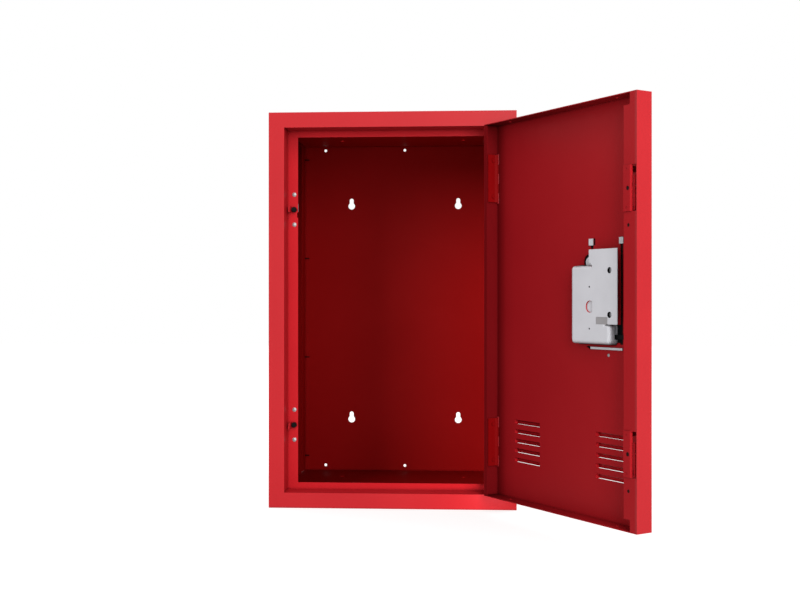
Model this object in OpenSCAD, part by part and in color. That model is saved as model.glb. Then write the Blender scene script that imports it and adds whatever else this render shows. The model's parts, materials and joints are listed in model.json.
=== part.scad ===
// Single-tier steel school locker: box cabinet, recessed door on two knuckle
// hinges, and a gravity latch bar that a finger pull in a drawn cup lifts.
// Frame: origin at the centre of the base, +X right, +Y to the wall, +Z up.
// The door is drawn closed in its own space and then swung about the hinge pin.

/* [Cabinet] */
// Overall width of the cabinet, 15 in
cab_w = 381; // [360:1:420]
// Overall depth of the cabinet, 15 in
cab_d = 381; // [340:1:460]
// Overall height of the cabinet, 24 in
cab_h = 609.6; // [600:0.1:680]
// Thickness of the folded steel sheet
sheet = 1.2; // [0.9:0.1:1.5]
// Width of the front face of a frame stile
stile_w = 24; // [22:0.5:28]
// Height of the front face of a frame rail
rail_h = 23.4; // [21:0.2:28]
// Depth from the front face to the door stop flange
rebate_d = 37.7; // [34:0.1:44]
// Width of the stop flange on a stile
stop_w = 16; // [14:0.5:17]
// Height of the stop flange on a rail
stop_h = 10; // [8:0.5:16]

/* [Door] */
// Angle that the door stands open at
door_open = 124.57; // [0:0.01:175]
// Thickness of the door pan
door_t = 25.7; // [24:0.1:28]
// Gap between the door and the frame at each side
side_gap = 2; // [1.6:0.1:3]
// Gap between the door and the frame at the top and the bottom
end_gap = 0.9; // [0.8:0.1:2]
// Width of the lip folded over on the free side
free_lip = 23.8; // [22:0.2:26]
// Width of the lip folded over on the hinge side
hinge_lip = 7.2; // [5:0.2:9]

/* [Louvers] */
// Slits in each group of louvers
louver_count = 5; // [3:1:6]
// Height from one slit to the next
louver_pitch = 14.1; // [12.5:0.1:15]
// Width of a louver
louver_w = 61; // [40:0.2:64]
// Height of the lowest slit
louver_z = 79.9; // [70:0.1:90]
// How far a louver stands out of the door
louver_out = 7; // [4:0.1:8]
// How far the foot of a louver hangs below its slit
louver_drop = 0.8; // [0:0.1:1.5]

/* [Hinges] */
// Height of the middle of the lower hinge
hinge_low = 105; // [90:1:130]
// Height of the middle of the upper hinge
hinge_high = 504.7; // [480:0.1:520]
// Length of a hinge barrel
hinge_len = 73; // [60:1:80]
// Radius of a hinge pin
pin_r = 1.5; // [1.4:0.05:1.6]
// Radial running clearance around a hinge pin
pin_play = 0.05; // [0.03:0.01:0.08]

/* [Latch] */
// Height of the middle of the lower strike
strike_low = 124; // [110:1:150]
// Height of the middle of the upper strike
strike_high = 462.6; // [440:0.1:470]
// Radius of the padlock eye
eye_r = 4.6; // [4:0.1:4.8]
// Radius of the two holes for a built-in lock
lock_hole_r = 4.15; // [3.5:0.05:4.3]
// Spacing of the two holes for a built-in lock, 2 5/16 in
lock_hole_gap = 58.7; // [56:0.1:60]

/* [Mounting] */
// Spacing across of the keyholes in the back
key_x = 200; // [150:1:240]
// Spacing up of the keyholes in the back
key_z = 400; // [300:1:420]
// Radius of the round part of a keyhole
key_r = 6.25; // [5:0.05:7]
// Spacing across of the joining holes in the top and the base
join_x = 218.6; // [180:0.1:240]
// Spacing front to back of the joining holes
join_y = 228.6; // [180:0.1:240]
// Radius of a joining hole
join_r = 3.25; // [2.5:0.05:4]

/* [Hidden] */
$fn = 48;

// Colours
RED = [0.80, 0.11, 0.13];
ZINC = [0.72, 0.73, 0.75];
STEEL = [0.55, 0.56, 0.58];
BLACK = [0.06, 0.06, 0.06];

// Cabinet
half_w = cab_w / 2;
open_x = half_w - stile_w;
open_z0 = rail_h;
open_z1 = cab_h - rail_h;
stop_x = open_x - stop_w;
back_y = cab_d - sheet;
back_flange = 36;
key_mid_z = 296.9;
key_slot_w = 7.5;
key_slot_up = 14.2;
small_xs = [-149, 0, 152];
small_z = 295.5;
small_mid_z = 305.9;
small_r = 2.6;
lance_z = [28.2, 213.5, 398.7, 584];
drain_h = 1.8;

// Door, in door space: x from the hinge edge, y in from the front skin, z up
door_x = open_x - side_gap;
door_w = 2 * door_x;
door_z0 = open_z0 + end_gap;
door_z1 = open_z1 - end_gap;
lip_relief_x = 12.6;
lip_relief_z = 16.5;
lip_y = door_t - sheet;
flange_hole_x = 50;
flange_hole_y = 13;
louver_x = [43.4, 223.2];
louver_skin = 1;

// Hinges: the pin stands in the notched corner of the door, just proud of its skin
pivot_x = door_x - 1.33;
pivot_y = -0.7;
barrel_room = 0.35;
barrel_r = pin_r + pin_play + 1.45;
leaf_t = 1.5;
knuckles = 5;
knuckle_gap = 0.3;
hinge_rivet_z = 27;
pin_head_h = 1.2;
notch_half = hinge_len / 2 + pin_head_h + 0.2;
hinge_zs = [hinge_low, hinge_high];

// Strikes on the left stile and the slots in the free lip that they enter
strike_zs = [strike_low, strike_high];
strike_rivet_x = -(half_w - 34.2);
strike_rivet_z = 23.6;
silencer_x = -(half_w - 34.2);
silencer_r = 4.1;
silencer_out = 4;
blade_x = -(half_w - 28.9);
blade_t = 1.6;
blade_low = -5;
blade_top = 4.5;
plate_under = 1.5;
catch_y = 21.9;
catch_r = 1.6;
notch_floor = 0.1;
slot_x0 = 319.2;
slot_half = 29.6;

// Latch bar in the free-side channel
bar_x0 = 308;
bar_x1 = 323;
bar_y0 = 4.4;
bar_y1 = 6.4;
catch_z = notch_floor + catch_r + 0.3;
tab_t = 1.6;
guide_rivet_x = 311.5;
guide_rivet_z = 24.5;
arm_z0 = 268.4;
arm_z1 = 274.4;
arm_y0 = 2.4;
arm_rivets = [251, 310.6, 316.4];

// Handle cup
cup_back = 15;
cup_t = 1;
cup_x0 = 188.2;
cup_x1 = 266;
cup_step_x = 258;
cup_step_z = 288;
cup_z0 = 261.2;
cup_z1 = 366.8;
cup_r = 5;
flange_y0 = -1.8;
gasket_y0 = -0.8;
plate_x0 = 225.8;
plate_x1 = 281.3;
plate_z1 = 388;
lip_plate_x0 = 305.6;
lip_plate_t = 1.3;
boss_x = 210.5;
boss_z = 371.6;
boss_r = 7;
lock_hole_x = 266.4;
lock_hole_z = 330;
lock_hole_zs = [lock_hole_z - lock_hole_gap / 2, lock_hole_z + lock_hole_gap / 2];
eye_z = 307;
eye_y = 7;
staple_x = 249.5;
pull_x = 246;
sleeve_y = 11;
sleeve_r = lock_hole_r + 1.2;
knockout_r = 8.2;
knockout_y = 13.2;
plate_stock = 2.5;

// ---- helpers ----

// Box between two corners
module span(x0, x1, y0, y1, z0, z1)
    translate([x0, y0, z0]) cube([x1 - x0, y1 - y0, z1 - z0]);

// Extrudes a profile drawn in x and z along y
module along_y(y0, y1)
    translate([0, y1, 0]) rotate([90, 0, 0]) linear_extrude(y1 - y0) children();

// Extrudes a profile drawn in y and z along x
module along_x(x0, x1)
    translate([x0, 0, 0]) rotate([90, 0, 90]) linear_extrude(x1 - x0) children();

// Round bar along y
module rod_y(x, z, y0, y1, r)
    along_y(y0, y1) translate([x, z]) circle(r);

// Round bar along x
module rod_x(y, z, x0, x1, r)
    along_x(x0, x1) translate([y, z]) circle(r);

// Rectangle with round corners
module round_rect(x0, x1, z0, z1, r) {
    translate([x0 + r, z0]) square([x1 - x0 - 2 * r, z1 - z0]);
    translate([x0, z0 + r]) square([x1 - x0, z1 - z0 - 2 * r]);
    for (x = [x0 + r, x1 - r])
        for (z = [z0 + r, z1 - r])
            translate([x, z]) circle(r);
}

// Box along y with round corners and a round edge at its far end
module drawn_box(x0, x1, z0, z1, y0, y1, r) {
    along_y(y0, y1 - r) round_rect(x0, x1, z0, z1, r);
    span(x0 + r, x1 - r, y0, y1, z0 + r, z1 - r);
    for (x = [x0 + r, x1 - r]) {
        translate([x, y1 - r, z0 + r]) cylinder(h = z1 - z0 - 2 * r, r = r);
        for (z = [z0 + r, z1 - r])
            translate([x, y1 - r, z]) sphere(r);
    }
    for (z = [z0 + r, z1 - r])
        translate([x0 + r, y1 - r, z]) rotate([0, 90, 0]) cylinder(h = x1 - x0 - 2 * r, r = r);
}

// Domed rivet head along y, from y to y + h, with its shank behind
module rivet_y(x, z, y, h, r, shank_r, shank_to) {
    rod_y(x, z, min(y, shank_to), max(y, shank_to), shank_r);
    intersection() {
        along_y(min(y, y + h), max(y, y + h)) translate([x, z]) circle(r);
        translate([x, y + h - sign(h) * r * 1.25, z]) sphere(r * 1.25);
    }
}

// Cabinet space: x from the middle, y from the front face, z up
module cabinet_space() translate([0, -cab_d / 2, 0]) children();

// Door space, swung open about the hinge pin
module door_space()
    cabinet_space()
        translate([pivot_x, pivot_y, 0]) rotate([0, 0, door_open]) translate([-pivot_x, -pivot_y, 0])
            translate([door_x, 0, 0]) mirror([1, 0, 0]) children();

// ---- cabinet ----

// Four joining holes through a sheet between two heights
module joining_holes(z0)
    for (x = [-join_x / 2, join_x / 2])
        for (y = [cab_d / 2 - join_y / 2, cab_d / 2 + join_y / 2])
            translate([x, y, z0 - 1]) cylinder(h = sheet + 2, r = join_r);

module top_panel()
    color(RED) cabinet_space() difference() {
        span(-half_w, half_w, sheet, cab_d, cab_h - sheet, cab_h);
        joining_holes(cab_h - sheet);
    }

module bottom_panel()
    color(RED) cabinet_space() difference() {
        span(-half_w, half_w, sheet, cab_d, 0, sheet);
        joining_holes(0);
    }

// Side sheet with a narrow drain slit at its back lower corner
module side_panel(side)
    color(RED) cabinet_space() mirror([side < 0 ? 1 : 0, 0, 0]) difference() {
        span(half_w - sheet, half_w, sheet, cab_d, sheet, cab_h - sheet);
        span(half_w - 2 * sheet, half_w + 1, back_y - back_flange + 2, back_y - 1, 0, sheet + drain_h);
    }

// Keyhole: a round hole with a slot above it
module keyhole(x, z) {
    translate([x, z]) circle(key_r);
    translate([x - key_slot_w / 2, z]) square([key_slot_w, key_slot_up - key_slot_w / 2]);
    translate([x, z + key_slot_up - key_slot_w / 2]) circle(key_slot_w / 2);
}

module back_panel()
    color(RED) cabinet_space() {
        inner = half_w - sheet;
        difference() {
            span(-inner, inner, back_y, cab_d, sheet, cab_h - sheet);
            along_y(back_y - 1, cab_d + 1) {
                for (x = [-key_x / 2, key_x / 2])
                    for (z = [-key_z / 2, key_z / 2])
                        keyhole(x, key_mid_z + z);
                for (x = small_xs)
                    for (z = [-small_z, small_z])
                        translate([x, small_mid_z + z]) circle(small_r);
            }
        }
        for (side = [0, 1])
            mirror([side, 0, 0]) {
                span(inner - sheet, inner, back_y - back_flange, back_y, sheet + drain_h, cab_h - sheet);
                for (z = lance_z)
                    span(inner - 9.5, inner - sheet, back_y - 0.9, back_y, z - 1, z + 1);
            }
    }

// Rail: front face, jamb and stop flange, from the cabinet's end inwards
module frame_rail(top)
    color(RED) cabinet_space() translate([0, 0, top ? cab_h : 0]) mirror([0, 0, top ? 1 : 0]) {
        span(-half_w, half_w, 0, sheet, 0, rail_h);
        span(-open_x, open_x, sheet, rebate_d, rail_h - sheet, rail_h);
        span(-stop_x, stop_x, rebate_d, rebate_d + sheet, rail_h - sheet, rail_h + stop_h);
    }

// Stile without holes: front face, jamb and stop flange
module stile_blank() {
    span(open_x, half_w, 0, sheet, open_z0, open_z1);
    span(open_x, open_x + sheet, 0, rebate_d + sheet, open_z0, open_z1);
    span(stop_x, open_x + sheet, rebate_d, rebate_d + sheet, open_z0, open_z1);
}

// Stile on the latch side, pierced for the strikes
module frame_stile_left()
    color(RED) cabinet_space() difference() {
        mirror([1, 0, 0]) stile_blank();
        for (z = strike_zs) {
            span(blade_x - blade_t / 2 - 0.1, blade_x + blade_t / 2 + 0.1, rebate_d - 1,
                rebate_d + sheet + 1, z + blade_low - 0.1, z + blade_top + 0.1);
            rod_y(silencer_x, z, rebate_d - 1, rebate_d + sheet + 1, 2.2);
            for (s = [-1, 1])
                rod_y(strike_rivet_x, z + s * strike_rivet_z, rebate_d - 1, rebate_d + sheet + 1, 2);
        }
        span(-stop_x - 1.5, -stop_x + 1, rebate_d - 1, rebate_d + sheet + 1,
            strike_high - 12.6, strike_high - 4.6);
    }

// Stile on the hinge side, notched for the hinge barrels
module frame_stile_right()
    color(RED) cabinet_space() difference() {
        stile_blank();
        for (z = hinge_zs)
            span(open_x - 1, open_x + sheet + leaf_t + 1, -1, 5, z - notch_half, z + notch_half);
    }

// ---- strikes ----

// Hook: a blade through the stop flange, with a foot behind it. Its notch holds the
// catch pin, and its sloping nose lifts the pin when the door closes
module strike_hook(z)
    color(RED) cabinet_space() translate([0, 0, z]) {
        back = rebate_d + sheet;
        x0 = blade_x - blade_t / 2;
        along_x(x0, x0 + blade_t)
            polygon([[back + plate_under, blade_low], [back + plate_under, blade_top],
                [catch_y + 2.3, blade_top], [catch_y + 2.3, notch_floor],
                [catch_y - 2.3, notch_floor], [catch_y - 2.3, blade_top - 0.5],
                [catch_y - 3.3, blade_top - 0.5], [catch_y - 6.3, blade_low + 2],
                [catch_y - 6.3, blade_low]]);
        span(x0 - 3, x0, back, back + plate_under, blade_low, blade_top);
    }

// Plate riveted behind the stop flange to back up the silencer; the upper one has an
// ear that shows past the flange's edge
module strike_plate(z, ear)
    color(ZINC) cabinet_space() translate([0, 0, z]) {
        back = rebate_d + sheet;
        difference() {
            union() {
                span(blade_x + blade_t, -stop_x - 1.8, back, back + plate_under, -slot_half, slot_half);
                if (ear)
                    span(-stop_x - 2, -stop_x + 0.3, back, back + plate_under, -3, 9.4);
            }
            rod_y(silencer_x, 0, back - 1, back + plate_under + 1, 2.2);
            for (s = [-1, 1])
                rod_y(strike_rivet_x, s * strike_rivet_z, back - 1, back + plate_under + 1, 2);
        }
    }

module strike_rivets()
    color(STEEL) cabinet_space()
        for (z = strike_zs)
            for (s = [-1, 1])
                rivet_y(strike_rivet_x, z + s * strike_rivet_z, rebate_d, -1.2, 4.2, 2,
                    rebate_d + sheet + plate_under);

// Rubber silencer pushed into the stop flange
module silencer(z)
    color(BLACK) cabinet_space() {
        rod_y(silencer_x, z, rebate_d, rebate_d + sheet + plate_under, 2.2);
        rod_y(silencer_x, z, rebate_d - silencer_out, rebate_d, silencer_r);
        rod_y(silencer_x, z, rebate_d - silencer_out - 1, rebate_d - silencer_out, silencer_r - 1);
    }

// ---- hinges ----

// Barrel knuckles of one leaf, counted from the bottom, with their bores
module knuckle_set(z, first) {
    pitch = hinge_len / knuckles;
    for (k = [first : 2 : knuckles - 1])
        translate([0, 0, z - hinge_len / 2 + k * pitch + knuckle_gap / 2])
            linear_extrude(pitch - knuckle_gap) children();
}

// Leaf on the frame: the plate stands behind the jamb, its knuckles in front
module frame_hinge_leaf(z)
    color(RED) cabinet_space() difference() {
        union() {
            plate = open_x + sheet;
            span(plate, plate + leaf_t, 4.6, 24, z - hinge_len / 2, z + hinge_len / 2);
            knuckle_set(z, 0) {
                translate([pivot_x, pivot_y]) circle(barrel_r);
                polygon([[pivot_x, -1.2], [pivot_x + barrel_r, -1.2], [plate + 0.5, -0.9],
                    [plate + leaf_t, 0.4], [plate + leaf_t, 6], [plate, 6], [plate, 1.6],
                    [plate - 0.8, 0.8], [pivot_x, 0.8]]);
            }
        }
        translate([pivot_x, pivot_y, z - hinge_len]) cylinder(h = 2 * hinge_len, r = pin_r + pin_play);
    }

// Leaf in the door: the plate lies inside the hinge edge of the pan
module door_hinge_leaf(z)
    color(RED) door_space() difference() {
        px = door_x - pivot_x;
        union() {
            difference() {
                translate([0, 0, z - hinge_len / 2 + 0.5]) linear_extrude(hinge_len - 1)
                    polygon([[sheet, 3.2], [4.4, 3.2], [4.4, 3.9], [sheet + leaf_t, 7.5],
                        [sheet + leaf_t, 20], [sheet, 20]]);
                for (s = [-1, 1])
                    rod_x(10.8, z + s * hinge_rivet_z, 0, 9, 1.6);
            }
            knuckle_set(z, 1) {
                translate([px, pivot_y]) circle(barrel_r);
                polygon([[px + barrel_r, pivot_y], [sheet + leaf_t, 3.4], [sheet + leaf_t, 5],
                    [sheet, 5], [sheet, 2.5], [px - 1.1, 2.3], [px - 1.1, pivot_y]]);
            }
        }
        translate([px, pivot_y, z - hinge_len]) cylinder(h = 2 * hinge_len, r = pin_r + pin_play);
    }

// Pin with a head at each end of the barrel
module hinge_pin(z)
    color(RED) cabinet_space() translate([pivot_x, pivot_y, z]) {
        translate([0, 0, -hinge_len / 2]) cylinder(h = hinge_len, r = pin_r);
        translate([0, 0, -hinge_len / 2 - pin_head_h]) cylinder(h = pin_head_h, r = pin_r + 1);
        translate([0, 0, hinge_len / 2]) cylinder(h = pin_head_h, r = pin_r + 1);
    }

// Rivets through the hinge edge and the door leaf
module hinge_rivets()
    color(RED) door_space()
        for (z = hinge_zs)
            for (s = [-1, 1]) {
                rod_x(10.8, z + s * hinge_rivet_z, 0, sheet + leaf_t, 1.6);
                rod_x(10.8, z + s * hinge_rivet_z, sheet + leaf_t, sheet + leaf_t + 0.9, 2.6);
            }

// ---- door ----

// One pressed louver: a quarter-round hood outside, open at its foot
module louver_hood(x, z)
    translate([0, 0, z]) difference() {
        union() {
            along_x(x, x + louver_w) louver_profile(louver_out);
            span(x, x + louver_w, -louver_out, 0, -louver_drop, 0);
        }
        along_x(x + louver_skin, x + louver_w - louver_skin) circle(louver_out - louver_skin);
        span(x + louver_skin, x + louver_w - louver_skin, louver_skin - louver_out, 1, -louver_out, 0);
    }

module louver_profile(r)
    intersection() {
        circle(r);
        translate([-r - 1, 0]) square([r + 1 + sheet / 2, r + 1]);
    }

// Window that one louver needs in the skin
module louver_window(x, z)
    span(x + louver_skin, x + louver_w - louver_skin, -1, sheet + 1, z, z + louver_out - 0.9);

// All openings in the skin around the handle cup
module lock_windows()
    along_y(-1, sheet + 1) {
        round_rect(cup_x0 - 1.2, cup_step_x + 1.2, cup_z0 - 1.2, cup_z1 + 1.2, cup_r);
        round_rect(cup_x0 - 1.2, cup_x1 + 1.2, cup_z0 - 1.2, cup_step_z + 1.2, cup_r);
        translate([cup_x1, cup_z0 + 2.3]) square([11.3, 24]);
        translate([272.3, 261.5]) square([5, 142]);
        translate([boss_x, boss_z]) circle(boss_r + 4);
        translate([213.4, 389.6]) square([6, 5.8]);
        translate([219.3, 394.2]) square([3.8, 9.4]);
        translate([216, 254.7]) square([60, 1.2]);
        polygon([[204.6, 257.2], [210.6, 258.4], [218.6, 253.4], [212.6, 253.2]]);
    }

// Lips folded over the two long edges
module door_lips() {
    span(0, hinge_lip, lip_y, door_t, door_z0 + 2, door_z1 - 2);
    difference() {
        span(door_w - free_lip, door_w, lip_y, door_t, door_z0 + 1, door_z1 - 1);
        for (z = [door_z0 - 1, door_z1 - lip_relief_z])
            span(door_w - free_lip - 1, door_w - lip_relief_x, lip_y - 1, door_t + 1, z, z + lip_relief_z + 1);
        for (z = strike_zs) {
            span(slot_x0, door_w - sheet, lip_y - 1, door_t + 1, z - slot_half, z + slot_half);
            rod_y(313.5, z, lip_y - 1, door_t + 1, 2.8);
            rod_y(313.6, z - 47, lip_y - 1, door_t + 1, 2.3);
            for (s = [-1, 1])
                rod_y(guide_rivet_x, z + s * guide_rivet_z, lip_y - 1, door_t + 1, 1.5);
        }
    }
}

// Door pan: skin, four flanges, two lips and the pressed louvers
module door_panel()
    color(RED) door_space() {
        difference() {
            union() {
                span(0, door_w, 0, sheet, door_z0, door_z1);
                for (x = [0, door_w - sheet])
                    span(x, x + sheet, 0, door_t, door_z0, door_z1);
                for (z = [door_z0, door_z1 - sheet])
                    span(0, door_w, 0, door_t, z, z + sheet);
                door_lips();
            }
            for (x = louver_x)
                for (k = [0 : louver_count - 1])
                    louver_window(x, louver_z + k * louver_pitch);
            lock_windows();
            for (x = [flange_hole_x, door_w - flange_hole_x])
                translate([x, flange_hole_y, 0]) cylinder(h = cab_h, r = 2.2);
            for (z = hinge_zs) {
                span(-1, door_x - pivot_x + barrel_r + barrel_room, -1,
                    pivot_y + barrel_r + barrel_room, z - notch_half, z + notch_half);
                for (s = [-1, 1])
                    rod_x(10.8, z + s * hinge_rivet_z, -1, 2, 1.6);
            }
            rod_y(249.4, 246.6, -1, sheet + 1, 1.4);
        }
        for (x = louver_x)
            for (k = [0 : louver_count - 1])
                louver_hood(x, louver_z + k * louver_pitch);
    }

// ---- handle cup and lock ----

// Front flange outline, and the same outline a little smaller for the gasket
module flange_outline(inset)
    round_rect(184 + inset, 290 - inset, 246 + inset, 411 - inset, 8);

// Drawn cup with its front flange, the tabs that hold it and the drum boss
module handle_cup()
    color(ZINC) door_space() {
        difference() {
            union() {
                along_y(flange_y0, gasket_y0) flange_outline(0);
                drawn_box(cup_x0, cup_step_x, cup_z0, cup_z1, gasket_y0 - 0.2, cup_back, cup_r);
                drawn_box(cup_x0, cup_x1, cup_z0, cup_step_z, gasket_y0 - 0.2, cup_back, cup_r);
            }
            drawn_box(cup_x0 + cup_t, cup_step_x - cup_t, cup_z0 + cup_t, cup_z1 - cup_t,
                flange_y0 - 1, cup_back - cup_t, cup_r - cup_t);
            drawn_box(cup_step_x - 12, cup_x1 - cup_t, cup_z0 + cup_t, cup_step_z - cup_t,
                gasket_y0, cup_back - cup_t, cup_r - cup_t);
            span(cup_x1 - 6, cup_x1 + 1, sheet + 0.2, 5.6, arm_z0 - 0.8, 287);
            rod_y(227.6, 311.4, knockout_y, cup_back + 1, knockout_r);
            for (z = [281.7, 338])
                rod_y(226.8, z, cup_back - 2, cup_back + 1, 1.3);
            span(240, 262.5, cup_back - 0.6, cup_back + 1, cup_step_z, 297.6);
        }
        difference() {
            rod_y(227.6, 311.4, knockout_y - cup_t, cup_back - cup_t, knockout_r + cup_t);
            rod_y(227.6, 311.4, knockout_y, cup_back, knockout_r);
        }
        difference() {
            along_y(cup_back - cup_t, cup_back)
                polygon([[plate_x0, plate_z1], [plate_x1, plate_z1], [plate_x1, cup_step_z],
                    [plate_x0 + 6.5, cup_step_z], [plate_x0 + 6.5, cup_z1 - 0.3],
                    [plate_x0, cup_z1 + 4.8]]);
            span(240, 262.5, cup_back - 0.6, cup_back + 1, cup_step_z, 297.6);
            for (z = lock_hole_zs) {
                rod_y(lock_hole_x, z, cup_back - 1.5, cup_back + 1, lock_hole_r);
                rod_y(lock_hole_x, z, cup_back - 1.5, cup_back - 0.3, sleeve_r);
            }
        }
        rod_y(boss_x, boss_z, gasket_y0 - 0.2, 0.7, boss_r);
        span(210.9, 219.4, sheet, 2.2, 394.3, 403.4);
        span(213.6, 219.2, gasket_y0 - 0.2, 2.2, 394.3, 395.3);
        span(270.8, 278.6, sheet, 2.2, 394.3, 403);
        span(273.5, 276.7, gasket_y0 - 0.2, 2.2, 395, 402.8);
        span(215, 277.3, sheet, 2.6, 253.8, 256.8);
        span(216.5, 275.5, gasket_y0 - 0.2, 2, 254.8, 255.8);
    }

// Black gasket between the flange and the skin
module cup_gasket()
    color(BLACK) door_space() difference() {
        along_y(gasket_y0, 0) flange_outline(1);
        along_y(gasket_y0 - 1, 1) {
            round_rect(cup_x0 - 0.1, cup_step_x + 0.1, cup_z0 - 0.1, cup_z1 + 0.1, cup_r);
            round_rect(cup_x0 - 0.1, cup_x1 + 0.1, cup_z0 - 0.1, cup_step_z + 0.1, cup_r);
            translate([boss_x, boss_z]) circle(boss_r + 0.1);
            translate([213.5, 394.2]) square([5.8, 1.2]);
            translate([273.4, 394.9]) square([3.4, 8]);
            translate([216.4, 254.7]) square([59.2, 1.2]);
            translate([249.4, 246.6]) circle(1.4);
        }
    }

// Black sleeves in the holes for a built-in lock
module lock_sleeves()
    color(BLACK) door_space()
        for (z = lock_hole_zs)
            difference() {
                rod_y(lock_hole_x, z, sleeve_y, cup_back - 0.3, sleeve_r);
                rod_y(lock_hole_x, z, sleeve_y - 1, cup_back + 1, lock_hole_r);
            }

// Closed nuts at the far end of the sleeves
module lock_nuts()
    color(STEEL) door_space()
        for (z = lock_hole_zs)
            rod_y(lock_hole_x, z, sleeve_y - 2, sleeve_y, sleeve_r);

// Black plugs in the two pilot holes of the cup
module cup_plugs()
    color(BLACK) door_space()
        for (z = [281.7, 338]) {
            rod_y(226.8, z, cup_back - cup_t, cup_back - 0.2, 1.3);
            rod_y(226.8, z, cup_back - cup_t - 0.8, cup_back - cup_t, 2.2);
        }

// Keeper for the bolt of a built-in lock
module bolt_keeper()
    color(STEEL) door_space()
        span(240.2, 262.3, cup_back - 0.6, cup_back - 0.2, cup_step_z + 0.2, 297.4);

// Rivet that holds the cup's flange to the skin below the cup
module flange_rivet()
    color(STEEL) door_space()
        rivet_y(249.4, 246.6, sheet, 1.2, 2.3, 1.4, gasket_y0);

// Staple on the cup's back: a padlock through its eye holds the pull down
module padlock_staple()
    color(ZINC) door_space() difference() {
        along_x(staple_x, staple_x + plate_stock) {
            translate([eye_y, eye_z]) circle(6.9);
            translate([eye_y, eye_z - 6.9]) square([cup_back - cup_t - eye_y, 13.8]);
        }
        rod_x(eye_y, eye_z, staple_x - 1, staple_x + plate_stock + 1, eye_r);
    }

// ---- latch ----

// Guide riveted inside the free lip; two legs reach down and hold the bar
module bar_guide(z)
    color(RED) door_space() difference() {
        union() {
            span(306, slot_x0, lip_y - 1.2, lip_y, z - slot_half, z + slot_half);
            for (s = [-1, 1])
                translate([0, 0, z + s * (slot_half - 4)]) {
                    span(306, 307.5, bar_y0 - 1.8, lip_y, -4, 4);
                    span(306, 316, bar_y0 - 1.8, bar_y0 - 0.3, -4, 4);
                    span(306, 316, bar_y1 + 0.3, bar_y1 + 1.8, -4, 4);
                }
        }
        for (s = [-1, 1])
            rod_y(guide_rivet_x, z + s * guide_rivet_z, lip_y - 3, lip_y + 1, 1.5);
        rod_y(313.5, z, lip_y - 3, lip_y + 1, 2.8);
    }

// Plate on the free lip that stiffens the edge of the slot
module lip_plate(z)
    color(RED) door_space() difference() {
        translate([0, 0, z - slot_half]) linear_extrude(2 * slot_half)
            polygon([[lip_plate_x0, door_t], [slot_x0, door_t], [slot_x0, door_t + 0.2],
                [slot_x0 - lip_plate_t, door_t + lip_plate_t], [lip_plate_x0, door_t + lip_plate_t]]);
        for (s = [-1, 1])
            rod_y(guide_rivet_x, z + s * guide_rivet_z, door_t - 1, door_t + 2, 1.5);
        rod_y(313.5, z, door_t - 1, door_t + 2, 2.8);
    }

// Flush rivets through the free lip into the guides
module guide_rivets()
    color(RED) door_space()
        for (z = strike_zs)
            for (s = [-1, 1]) {
                rod_y(guide_rivet_x, z + s * guide_rivet_z, lip_y - 1.2, door_t + 0.9, 1.5);
                rod_y(guide_rivet_x, z + s * guide_rivet_z, lip_y - 1.9, lip_y - 1.2, 2.4);
            }

// Black plugs in the spare holes of the free lip
module lip_plugs()
    color(BLACK) door_space()
        for (z = strike_zs) {
            rod_y(313.5, z, lip_y - 1.2, door_t + 0.8, 2.8);
            rod_y(313.6, z - 47, lip_y, door_t - 0.4, 2.3);
            rod_y(313.6, z - 47, lip_y - 0.8, lip_y, 3);
        }

// Latch bar with a tab at each strike
module latch_bar()
    color(RED) door_space() difference() {
        union() {
            span(bar_x0, bar_x1 - 3, bar_y0, bar_y1, strike_low - 46, strike_high + 40);
            for (z = strike_zs) {
                span(bar_x0, bar_x1, bar_y0, bar_y1, z - 9, z + 9);
                span(bar_x1 - tab_t, bar_x1, bar_y0, lip_y - 0.4, z - 28.6, z + 16);
            }
        }
        for (z = strike_zs)
            rod_x(catch_y, z + catch_z, bar_x1 - 3, bar_x1 + 1, 1);
        for (x = [arm_rivets[1], arm_rivets[2]])
            rod_y(x, (arm_z0 + arm_z1) / 2, 0, 9, 1.2);
    }

// Pins that drop into the notches of the strikes
module catch_pins()
    color(RED) door_space()
        for (z = strike_zs) {
            rod_x(catch_y, z + catch_z, bar_x1, bar_x1 + 4.4, catch_r);
            rod_x(catch_y, z + catch_z, bar_x1 - tab_t, bar_x1, 1);
            rod_x(catch_y, z + catch_z, bar_x1 - tab_t - 0.8, bar_x1 - tab_t, 1.6);
        }

// Arm from the finger pull through the cup's wall to the latch bar
module pull_arm()
    color(BLACK) door_space() difference() {
        span(pull_x + 2, 319.6, arm_y0, bar_y0, arm_z0, arm_z1);
        for (x = arm_rivets)
            rod_y(x, (arm_z0 + arm_z1) / 2, 0, 9, 1.2);
    }

// Finger pull: foot on the arm, upright with the padlock eye, and a shelf for a finger
module finger_pull()
    color(ZINC) door_space() difference() {
        union() {
            span(pull_x, pull_x + 9, bar_y0, bar_y0 + 1.5, arm_z0, arm_z1);
            span(pull_x, pull_x + 2, arm_y0, 12.4, arm_z0, eye_z - 8);
            along_x(pull_x, pull_x + 2) {
                translate([eye_y, eye_z]) circle(6.4);
                translate([eye_y - 4.6, arm_z0]) square([10, eye_z - arm_z0]);
            }
            span(228, pull_x, 2, 12.4, 284, 286);
            rod_x(3.4, 285, 228, pull_x, 1.4);
        }
        rod_x(eye_y, eye_z, pull_x - 1, pull_x + 3, eye_r);
        rod_y(arm_rivets[0], (arm_z0 + arm_z1) / 2, 0, 9, 1.2);
    }

module pull_rivets()
    color(STEEL) door_space()
        for (x = arm_rivets) {
            foot = x < cup_x1 ? bar_y0 + 1.5 : bar_y1;
            rod_y(x, (arm_z0 + arm_z1) / 2, arm_y0, foot, 1.2);
            rod_y(x, (arm_z0 + arm_z1) / 2, foot, foot + 0.9, 2.2);
        }

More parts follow.
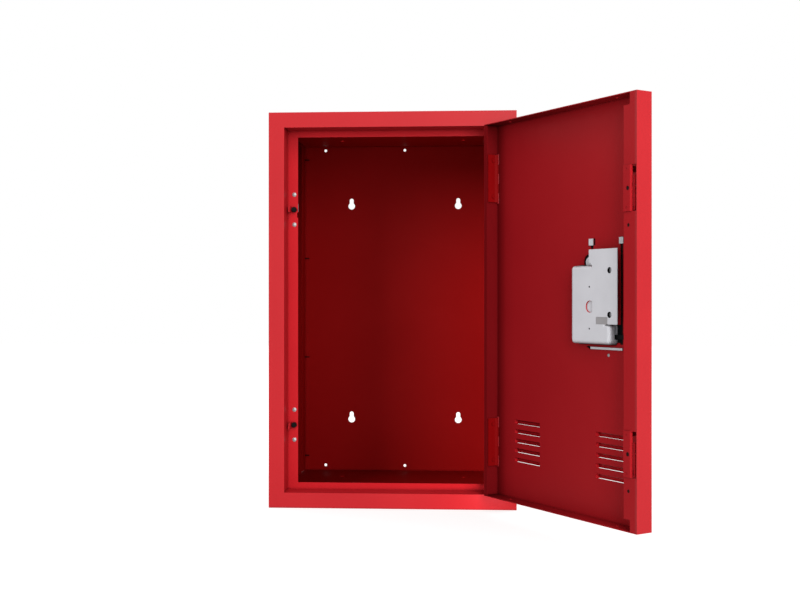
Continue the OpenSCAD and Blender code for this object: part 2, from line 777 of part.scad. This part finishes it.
top_panel();
bottom_panel();
side_panel(-1);  // side_panel_left
side_panel(1);  // side_panel_right
back_panel();
frame_rail(true);  // frame_rail_top
frame_rail(false);  // frame_rail_bottom
frame_stile_left();
frame_stile_right();
strike_hook(strike_low);  // strike_hook_lower
strike_hook(strike_high);  // strike_hook_upper
strike_plate(strike_low, false);  // strike_plate_lower
strike_plate(strike_high, true);  // strike_plate_upper
strike_rivets();
silencer(strike_low);  // silencer_lower
silencer(strike_high);  // silencer_upper
frame_hinge_leaf(hinge_low);  // frame_hinge_leaf_lower
frame_hinge_leaf(hinge_high);  // frame_hinge_leaf_upper
hinge_pin(hinge_low);  // hinge_pin_lower
hinge_pin(hinge_high);  // hinge_pin_upper
door_panel();
door_hinge_leaf(hinge_low);  // door_hinge_leaf_lower
door_hinge_leaf(hinge_high);  // door_hinge_leaf_upper
hinge_rivets();
handle_cup();
cup_gasket();
lock_sleeves();
lock_nuts();
cup_plugs();
bolt_keeper();
flange_rivet();
padlock_staple();
bar_guide(strike_low);  // bar_guide_lower
bar_guide(strike_high);  // bar_guide_upper
lip_plate(strike_low);  // lip_plate_lower
lip_plate(strike_high);  // lip_plate_upper
guide_rivets();
lip_plugs();
latch_bar();
catch_pins();
pull_arm();
finger_pull();
pull_rivets();
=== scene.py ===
"""School locker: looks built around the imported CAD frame."""
import json
import math

import bpy
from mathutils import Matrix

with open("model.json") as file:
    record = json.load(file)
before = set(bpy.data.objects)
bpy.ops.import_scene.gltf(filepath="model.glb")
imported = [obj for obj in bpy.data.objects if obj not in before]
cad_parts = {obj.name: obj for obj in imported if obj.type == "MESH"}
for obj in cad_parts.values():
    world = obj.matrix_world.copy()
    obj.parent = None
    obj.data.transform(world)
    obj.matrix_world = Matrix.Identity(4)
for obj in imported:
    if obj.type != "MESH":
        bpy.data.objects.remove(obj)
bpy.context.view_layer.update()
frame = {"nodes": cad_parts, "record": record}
nodes = frame["nodes"]
scene = bpy.context.scene

MM = 0.001

# ---------------------------------------------------------------- camera

CAMERA_PLACE = (0.10876, -1.8905, 0.31915)
CAMERA_TURN = 0.0571
CAMERA_LENS = 50.0
CAMERA_SENSOR = 36.0
CAMERA_SHIFT = (0.0007, 0.0010)


def add_camera():
    data = bpy.data.cameras.new("camera")
    data.lens = CAMERA_LENS
    data.sensor_width = CAMERA_SENSOR
    data.shift_x, data.shift_y = CAMERA_SHIFT
    camera = bpy.data.objects.new("camera", data)
    camera.location = CAMERA_PLACE
    camera.rotation_euler = (math.pi / 2, 0, CAMERA_TURN)
    scene.collection.objects.link(camera)
    scene.camera = camera


add_camera()

# ---------------------------------------------------------------- studio


def add_world():
    world = bpy.data.worlds.new("studio")
    world.use_nodes = True
    background = world.node_tree.nodes["Background"]
    background.inputs["Color"].default_value = (1, 1, 1, 1)
    background.inputs["Strength"].default_value = 1.0
    scene.world = world


INSIDE_NODES = ("back_panel", "side_panel_left", "side_panel_right", "top_panel", "bottom_panel")
RAIL_NODES = ("frame_rail_bottom", "frame_stile_left")
LEAF_NODES = ("door_hinge_leaf_lower", "door_hinge_leaf_upper", "hinge_rivets")
AIM = (0.05, -0.2, 0.3)
BOX_DISTANCE = 3.0
BOX_SIZE = 1.5
SQUARE_ON = (math.pi / 2, 0, 0)


def node_group(name, keep):
    """Collection of the CAD nodes that a light is allowed to reach."""
    group = bpy.data.collections.new(name)
    for node, obj in nodes.items():
        if keep(node):
            group.objects.link(obj)
    return group


def add_light(name, place, turn, size, power, group=None, tint=(1, 1, 1)):
    """Square light that the camera does not see; a group limits what it reaches."""
    data = bpy.data.lights.new(name, "AREA")
    data.shape = "SQUARE"
    data.size = size
    data.energy = power
    data.color = tint
    light = bpy.data.objects.new(name, data)
    light.location = place
    light.rotation_euler = turn
    light.visible_camera = False
    scene.collection.objects.link(light)
    if group:
        light.light_linking.receiver_collection = group


def add_soft_box(name, azimuth, elevation, power, group=None):
    """Large light turned to AIM, from an azimuth (0 in front, positive right) and an elevation."""
    turn, rise = math.radians(azimuth), math.radians(elevation)
    place = (AIM[0] + BOX_DISTANCE * math.sin(turn) * math.cos(rise),
             AIM[1] - BOX_DISTANCE * math.cos(turn) * math.cos(rise),
             AIM[2] + BOX_DISTANCE * math.sin(rise))
    add_light(name, place, (math.pi / 2 - rise, 0, turn), BOX_SIZE, power, group)


def add_floor():
    bpy.ops.mesh.primitive_plane_add(size=12, location=(0, 0, -0.0005))
    floor = bpy.context.object
    floor.name = "floor"
    material = bpy.data.materials.new("floor_white")
    material.use_nodes = True
    shader = material.node_tree.nodes["Principled BSDF"]
    shader.inputs["Base Color"].default_value = (0.35, 0.35, 0.35, 1)
    shader.inputs["Roughness"].default_value = 0.9
    shader.inputs["Specular IOR Level"].default_value = 0.0
    shader.inputs["Emission Color"].default_value = (1, 1, 1, 1)
    shader.inputs["Emission Strength"].default_value = 0.8
    floor.data.materials.append(material)


def add_lights():
    outer = node_group("reached_by_key", lambda node: node not in INSIDE_NODES)
    inner = node_group("reached_by_fill", lambda node: node in INSIDE_NODES)
    add_soft_box("key_low", 21, 12, 84, outer)
    add_soft_box("key_high", 21, 45, 70, outer)
    add_soft_box("front_left", -15, 8, 10, outer)
    rail = node_group("reached_by_rail_fill", lambda node: node in RAIL_NODES)
    add_light("rail_fill", (0.05, -0.75, 0.03), SQUARE_ON, 0.25, 0.3, rail)
    add_light("under_door", (0.160, -0.33, 0.013), SQUARE_ON, 0.02, 0.26, rail, (1.0, 0.25, 0.3))
    add_soft_box("inside_right", 35, 12, 40, inner)
    add_soft_box("inside_left", -35, 20, 106, inner)
    add_soft_box("inside_front", 20, 15, 7, inner)
    add_soft_box("rear_left", -125, 30, 20)
    add_soft_box("rear_right", 125, 30, 40)


add_world()
add_floor()
add_lights()
scene.view_settings.view_transform = "Standard"

# ---------------------------------------------------------------- materials


def new_material(name):
    material = bpy.data.materials.new(name)
    material.use_nodes = True
    return material, material.node_tree, material.node_tree.nodes["Principled BSDF"]


def noise(tree, coords, scale, detail=3.0, roughness=0.5):
    node = tree.nodes.new("ShaderNodeTexNoise")
    node.inputs["Scale"].default_value = scale
    node.inputs["Detail"].default_value = detail
    node.inputs["Roughness"].default_value = roughness
    tree.links.new(coords, node.inputs["Vector"])
    return node.outputs["Fac"]


def ramp(tree, value, stops):
    node = tree.nodes.new("ShaderNodeValToRGB")
    elements = node.color_ramp.elements
    elements[0].position, elements[0].color = stops[0][0], (*stops[0][1], 1)
    elements[1].position, elements[1].color = stops[-1][0], (*stops[-1][1], 1)
    for place, colour in stops[1:-1]:
        elements.new(place).color = (*colour, 1)
    tree.links.new(value, node.inputs["Fac"])
    return node.outputs["Color"]


def map_range(tree, value, low, high):
    node = tree.nodes.new("ShaderNodeMapRange")
    node.inputs["To Min"].default_value = low
    node.inputs["To Max"].default_value = high
    tree.links.new(value, node.inputs["Value"])
    return node.outputs["Result"]


def object_coords(tree):
    return tree.nodes.new("ShaderNodeTexCoord").outputs["Object"]


def add_bump(tree, shader, heights):
    """Chains one bump per (height output, strength, distance in metres)."""
    last = None
    for height, strength, distance in heights:
        bump = tree.nodes.new("ShaderNodeBump")
        bump.inputs["Strength"].default_value = strength
        bump.inputs["Distance"].default_value = distance
        tree.links.new(height, bump.inputs["Height"])
        if last:
            tree.links.new(last, bump.inputs["Normal"])
        last = bump.outputs["Normal"]
    tree.links.new(last, shader.inputs["Normal"])


def multiply(tree, a, b):
    """Colour a scaled by the value or colour b."""
    node = tree.nodes.new("ShaderNodeMix")
    node.data_type = "RGBA"
    node.blend_type = "MULTIPLY"
    node.inputs["Factor"].default_value = 1.0
    tree.links.new(a, node.inputs["A"])
    tree.links.new(b, node.inputs["B"])
    return node.outputs["Result"]


def calc(tree, operation, a, b=None):
    """Math node; a is an output, and b an output, a number or nothing."""
    node = tree.nodes.new("ShaderNodeMath")
    node.operation = operation
    tree.links.new(a, node.inputs[0])
    if isinstance(b, float):
        node.inputs[1].default_value = b
    elif b is not None:
        tree.links.new(b, node.inputs[1])
    return node.outputs[0]


def along(tree, vector, direction):
    """Component of a vector along a fixed direction."""
    node = tree.nodes.new("ShaderNodeVectorMath")
    node.operation = "DOT_PRODUCT"
    tree.links.new(vector, node.inputs[0])
    node.inputs[1].default_value = direction
    return node.outputs["Value"]


def place_along(tree, direction):
    return along(tree, object_coords(tree), direction)


def facing(tree, direction):
    """How far a face looks in a fixed direction, from -1 to 1."""
    return along(tree, tree.nodes.new("ShaderNodeTexCoord").outputs["Normal"], direction)


def steps(tree, value, low, high, stops):
    """Grey ramp over value, from low to high; stops are (value, grey)."""
    node = tree.nodes.new("ShaderNodeMapRange")
    node.inputs["From Min"].default_value = low
    node.inputs["From Max"].default_value = high
    tree.links.new(value, node.inputs["Value"])
    span = high - low
    return ramp(tree, node.outputs["Result"], [((v - low) / span, (g, g, g)) for v, g in stops])


def painted_crease_shade(tree, reach, depth):
    """Painted shade: base colour darkened in corners and narrow gaps, where shade falls."""
    node = tree.nodes.new("ShaderNodeAmbientOcclusion")
    node.samples = 8
    node.inputs["Distance"].default_value = reach
    return ramp(tree, node.outputs["AO"], [(0.25, (depth, depth, depth)), (0.85, (1, 1, 1))])


def powder_coat(name, dark, light, roughness, specular=0.12, shade=None, gleam=None):
    """Baked powder paint: fine orange peel, faint cloudiness in colour and gloss, with painted shade in
    corners and, where given, a painted light-and-shade map.
    """
    material, tree, shader = new_material(name)
    coords = object_coords(tree)
    cloud = noise(tree, coords, 9, 4)
    peel = noise(tree, coords, 900, 2)
    ripple = noise(tree, coords, 260, 2)
    colour = ramp(tree, cloud, [(0.3, dark), (0.7, light)])
    colour = multiply(tree, colour, painted_crease_shade(tree, 0.005, 0.5))
    if shade:
        colour = multiply(tree, colour, shade(tree))
    tree.links.new(colour, shader.inputs["Base Color"])
    gloss = map_range(tree, noise(tree, coords, 60, 3), roughness - 0.05, roughness + 0.05)
    tree.links.new(gloss, shader.inputs["Roughness"])
    shader.inputs["IOR"].default_value = 1.5
    shader.inputs["Specular IOR Level"].default_value = specular
    if gleam:
        tree.links.new(gleam(tree), shader.inputs["Specular IOR Level"])
    add_bump(tree, shader, [(ripple, 0.12, 0.0003), (peel, 0.10, 0.0001)])
    return material


def grey_enamel(name, dark, light, roughness, metallic=0.0, shade=None):
    """Fine-grained grey finish with painted shade in corners; only the cup's has a painted light-and-shade
    map, and its recess then gets a painted red reflection.
    """
    material, tree, shader = new_material(name)
    coords = object_coords(tree)
    cloud = noise(tree, coords, 40, 4)
    grain = noise(tree, coords, 1400, 2)
    colour = multiply(tree, ramp(tree, cloud, [(0.3, dark), (0.7, light)]), painted_crease_shade(tree, 0.004, 0.3))
    if shade:
        colour = knockout_painted_reflection(tree, multiply(tree, colour, shade(tree)))
    tree.links.new(colour, shader.inputs["Base Color"])
    gloss = map_range(tree, noise(tree, coords, 200, 3), roughness - 0.06, roughness + 0.06)
    tree.links.new(gloss, shader.inputs["Roughness"])
    shader.inputs["Metallic"].default_value = metallic
    add_bump(tree, shader, [(grain, 0.10, 0.0001)])
    return material


def moulded_black(name, roughness):
    """Matt black with a fine moulded grain."""
    material, tree, shader = new_material(name)
    coords = object_coords(tree)
    cloud = noise(tree, coords, 300, 3)
    grain = noise(tree, coords, 2500, 2)
    tree.links.new(ramp(tree, cloud, [(0.3, (0.0015, 0.0015, 0.0016)), (0.7, (0.003, 0.003, 0.0032))]),
                   shader.inputs["Base Color"])
    shader.inputs["Specular IOR Level"].default_value = 0.06
    gloss = map_range(tree, cloud, roughness - 0.08, roughness + 0.08)
    tree.links.new(gloss, shader.inputs["Roughness"])
    add_bump(tree, shader, [(grain, 0.25, 0.0001)])
    return material


RED_DARK = (0.252, 0.0055, 0.0085)
RED_LIGHT = (0.268, 0.0065, 0.0095)
# Painted light: the inside panels get their own copy of the red paint, more saturated, standing in for the
# softer light inside the cabinet.
INSIDE_RED_DARK = (0.272, 0.0030, 0.0032)
INSIDE_RED_LIGHT = (0.290, 0.0040, 0.0042)
# Painted shade: the hinge leaves and their rivets get a darker copy of the red paint.
SHADED_LEAF_DARK = (0.125, 0.0012, 0.0016)
SHADED_LEAF_LIGHT = (0.135, 0.0016, 0.0020)

# The open door's own directions and its hinge edge, seen from above.
DOOR_OPEN = math.radians(124.57)
DOOR_OUT = (-math.cos(DOOR_OPEN), -math.sin(DOOR_OPEN), 0.0)
DOOR_IN = (-math.sin(DOOR_OPEN), math.cos(DOOR_OPEN), 0.0)
HINGE_EDGE = (0.16183, -0.1905)
HINGE_EDGE_U = HINGE_EDGE[0] * DOOR_OUT[0] + HINGE_EDGE[1] * DOOR_OUT[1]
SKIN_DEPTH = HINGE_EDGE[0] * DOOR_IN[0] + HINGE_EDGE[1] * DOOR_IN[1]
DOOR_SPAN = 0.33
KNOCKOUT_U = 0.2275
KNOCKOUT = (HINGE_EDGE[0] + KNOCKOUT_U * DOOR_OUT[0], HINGE_EDGE[1] + KNOCKOUT_U * DOOR_OUT[1], 0.3114)

LANCE_LOW = 0.0282
LANCE_STEP = 0.18527
LANCE_SHADOW_TONE = 0.12


def louver_painted_light(tree):
    """Painted light: the inside of the louver hoods, which lie outside the skin, is painted up to half again
    brighter.
    """
    outside = steps(tree, place_along(tree, DOOR_IN), SKIN_DEPTH - 0.002, SKIN_DEPTH,
                    [(SKIN_DEPTH - 0.001, 1.0), (SKIN_DEPTH - 0.0003, 0.0)])
    inward = steps(tree, facing(tree, DOOR_IN), -1, 1, [(-0.3, 0.0), (0.0, 1.0)])
    return map_range(tree, calc(tree, "MULTIPLY", outside, inward), 1.0, 1.5)


def frame_painted_light(tree):
    """Painted light: the stop flanges are painted a little brighter than the face."""
    return steps(tree, place_along(tree, (0, 1, 0)), -0.19, -0.14, [(-0.158, 1.0), (-0.154, 1.12)])


def frame_gleam(tree):
    """The face is glossier than the jambs and the stop flanges."""
    return steps(tree, place_along(tree, (0, 1, 0)), -0.19, -0.14, [(-0.186, 0.12), (-0.158, 0.04)])


def lance_painted_shadow(tree):
    """Painted shadow: dark dashes where the lanced tabs of the back panel meet its side flanges."""
    side = calc(tree, "ABSOLUTE", place_along(tree, (1, 0, 0)))
    outermost = steps(tree, side, 0.178, 0.182, [(0.1796, 0.0), (0.1800, 1.0)])
    height = calc(tree, "SUBTRACT", place_along(tree, (0, 0, 1)), LANCE_LOW)
    offset = calc(tree, "PINGPONG", height, LANCE_STEP / 2)
    level = steps(tree, offset, 0, 0.003, [(0.0011, 1.0), (0.0015, 0.0)])
    inner_face = steps(tree, place_along(tree, (0, 1, 0)), 0.18, 0.191,
                       [(0.183, 0.0), (0.185, 1.0), (0.1895, 1.0), (0.1899, 0.0)])
    tab = calc(tree, "MULTIPLY", calc(tree, "MULTIPLY", outermost, level), inner_face)
    return map_range(tree, tab, 1.0, LANCE_SHADOW_TONE)


def inside_painted_shade(tree):
    """Painted shade: darker floor and upper left wall."""
    floor = steps(tree, facing(tree, (0, 0, 1)), 0, 1, [(0.5, 1.0), (0.8, 0.62)])
    left = steps(tree, facing(tree, (1, 0, 0)), 0, 1, [(0.5, 0.0), (0.8, 1.0)])
    high = steps(tree, place_along(tree, (0, 0, 1)), 0, 0.62, [(0.0, 0.0), (0.25, 0.0), (0.55, 1.0)])
    wall = map_range(tree, calc(tree, "MULTIPLY", left, high), 1.0, 0.5)
    return multiply(tree, floor, wall)


def door_reach(tree):
    """Distance from the door's hinge edge, along its width."""
    return calc(tree, "SUBTRACT", place_along(tree, DOOR_OUT), HINGE_EDGE_U)


def door_painted_shade(tree):
    """Painted light and shade on the door's inner side: skin, hinge-side wall, flanges and louvers."""
    inner = steps(tree, facing(tree, DOOR_IN), 0, 1, [(0.4, 1.0), (0.8, 0.665)])
    reach = door_reach(tree)
    across = steps(tree, reach, -0.002, DOOR_SPAN,
                   [(0.0, 0.66), (0.004, 0.50), (0.010, 0.62), (0.022, 0.88), (0.045, 1.0),
                    (0.14, 1.06), (0.23, 1.2), (0.302, 1.27), (0.306, 1.17), (0.3265, 1.17), (0.328, 1.0)])
    turned = steps(tree, facing(tree, DOOR_OUT), 0, 1, [(0.5, 1.0), (0.9, 0.60)])
    beyond = steps(tree, reach, 0, 0.02, [(0.012, 0.0), (0.014, 1.0)])
    wall = calc(tree, "MAXIMUM", turned, beyond)
    tilt = calc(tree, "ABSOLUTE", facing(tree, (0, 0, 1)))
    upright = steps(tree, tilt, 0, 1, [(0.5, 1.0), (0.8, 0.0)])
    near = steps(tree, reach, 0, DOOR_SPAN, [(0.0, 0.25), (0.06, 0.36), (0.16, 0.45), (0.3, 0.55)])
    flange = calc(tree, "MAXIMUM", upright, near)
    tone = multiply(tree, inner, across)
    for factor in (wall, flange, louver_painted_light(tree)):
        tone = multiply(tree, tone, factor)
    return tone


def door_gleam(tree):
    """The door's free edge is glossier than its inner side."""
    return steps(tree, door_reach(tree), 0, DOOR_SPAN,
                 [(0.0, 0.05), (0.002, 0.02), (0.02, 0.025), (0.325, 0.04), (0.327, 0.15)])


def cup_painted_shade(tree):
    """Painted shade and highlight on the rounded edges of the drawn cup: dark where they face the red door,
    light on the free side.
    """
    rounded = steps(tree, facing(tree, DOOR_IN), 0, 1, [(0.0, 0.30), (0.45, 0.45), (0.9, 0.97), (0.97, 1.0)])
    free = steps(tree, facing(tree, DOOR_OUT), 0, 1, [(0.2, 1.0), (0.7, 1.25), (1.0, 2.2)])
    return multiply(tree, rounded, free)


def knockout_painted_reflection(tree, colour):
    """Painted reflection: red light from the skin on the side wall of the cup's round recess."""
    coords = object_coords(tree)
    offset = tree.nodes.new("ShaderNodeVectorMath")
    offset.operation = "SUBTRACT"
    tree.links.new(coords, offset.inputs[0])
    offset.inputs[1].default_value = KNOCKOUT
    across = along(tree, offset.outputs["Vector"], DOOR_OUT)
    up = along(tree, offset.outputs["Vector"], (0, 0, 1))
    depth = along(tree, offset.outputs["Vector"], DOOR_IN)
    flat = tree.nodes.new("ShaderNodeCombineXYZ")
    tree.links.new(across, flat.inputs["X"])
    tree.links.new(up, flat.inputs["Y"])
    radius = tree.nodes.new("ShaderNodeVectorMath")
    radius.operation = "LENGTH"
    tree.links.new(flat.outputs["Vector"], radius.inputs[0])
    ring = steps(tree, radius.outputs["Value"], 0.006, 0.0095,
                 [(0.0074, 0.0), (0.0079, 1.0), (0.0084, 1.0), (0.0086, 0.0)])
    below = steps(tree, depth, 0.010, 0.016, [(0.0147, 1.0), (0.0149, 0.0)])
    mix = tree.nodes.new("ShaderNodeMix")
    mix.data_type = "RGBA"
    tree.links.new(calc(tree, "MULTIPLY", ring, below), mix.inputs["Factor"])
    tree.links.new(colour, mix.inputs["A"])
    mix.inputs["B"].default_value = (0.30, 0.012, 0.016, 1)
    return mix.outputs["Result"]


MATERIALS = {
    "cabinet_paint": powder_coat("cabinet_red", RED_DARK, RED_LIGHT, 0.38, 0.12, frame_painted_light, frame_gleam),
    "inside": powder_coat("inside_red", INSIDE_RED_DARK, INSIDE_RED_LIGHT, 0.5, 0.03, inside_painted_shade),
    "back": powder_coat("back_red", INSIDE_RED_DARK, INSIDE_RED_LIGHT, 0.5, 0.03, lance_painted_shadow),
    "leaf": powder_coat("leaf_red_painted_shade", SHADED_LEAF_DARK, SHADED_LEAF_LIGHT, 0.45, 0.012),
    "door_paint": powder_coat("door_red", RED_DARK, RED_LIGHT, 0.42, 0.07, door_painted_shade, door_gleam),
    "lock_enamel": grey_enamel("lock_grey", (0.34, 0.34, 0.362), (0.36, 0.36, 0.382), 0.42, shade=cup_painted_shade),
    "bright_steel": grey_enamel("zinc_steel", (0.20, 0.195, 0.20), (0.25, 0.245, 0.25), 0.45, 0.4),
    "black_rubber": moulded_black("rubber_black", 0.62),
    "black_plastic": moulded_black("plastic_black", 0.5),
}

# ---------------------------------------------------------------- CAD nodes

BEVELS = {"door_panel": 0.45, "back_panel": 0.25}
UNBEVELLED = ("handle_cup", "lock_nuts", "lock_sleeves")
# The inside panels, the back panel and the hinge leaves get the copies of the red paint that carry painted
# light and shade.
SPECIAL = {name: "inside" for name in INSIDE_NODES}
SPECIAL.update({name: "leaf" for name in LEAF_NODES})
SPECIAL["back_panel"] = "back"


def dress_nodes():
    """Material and edge bevel of every CAD node; its record slot unless it has a special one."""
    slots = {part["node"]: part["material_slot"] for part in frame["record"]["subparts"]}
    for name, obj in nodes.items():
        material = MATERIALS[SPECIAL.get(name, slots[name])]
        if not obj.material_slots:
            obj.data.materials.append(material)
        for slot in obj.material_slots:
            slot.material = material
        if name in UNBEVELLED:
            continue
        bevel = obj.modifiers.new("edge", "BEVEL")
        bevel.width = BEVELS.get(name, 0.3) * MM
        bevel.segments = 2
        bevel.limit_method = "ANGLE"
        bevel.angle_limit = math.radians(40)
        bevel.harden_normals = True


dress_nodes()
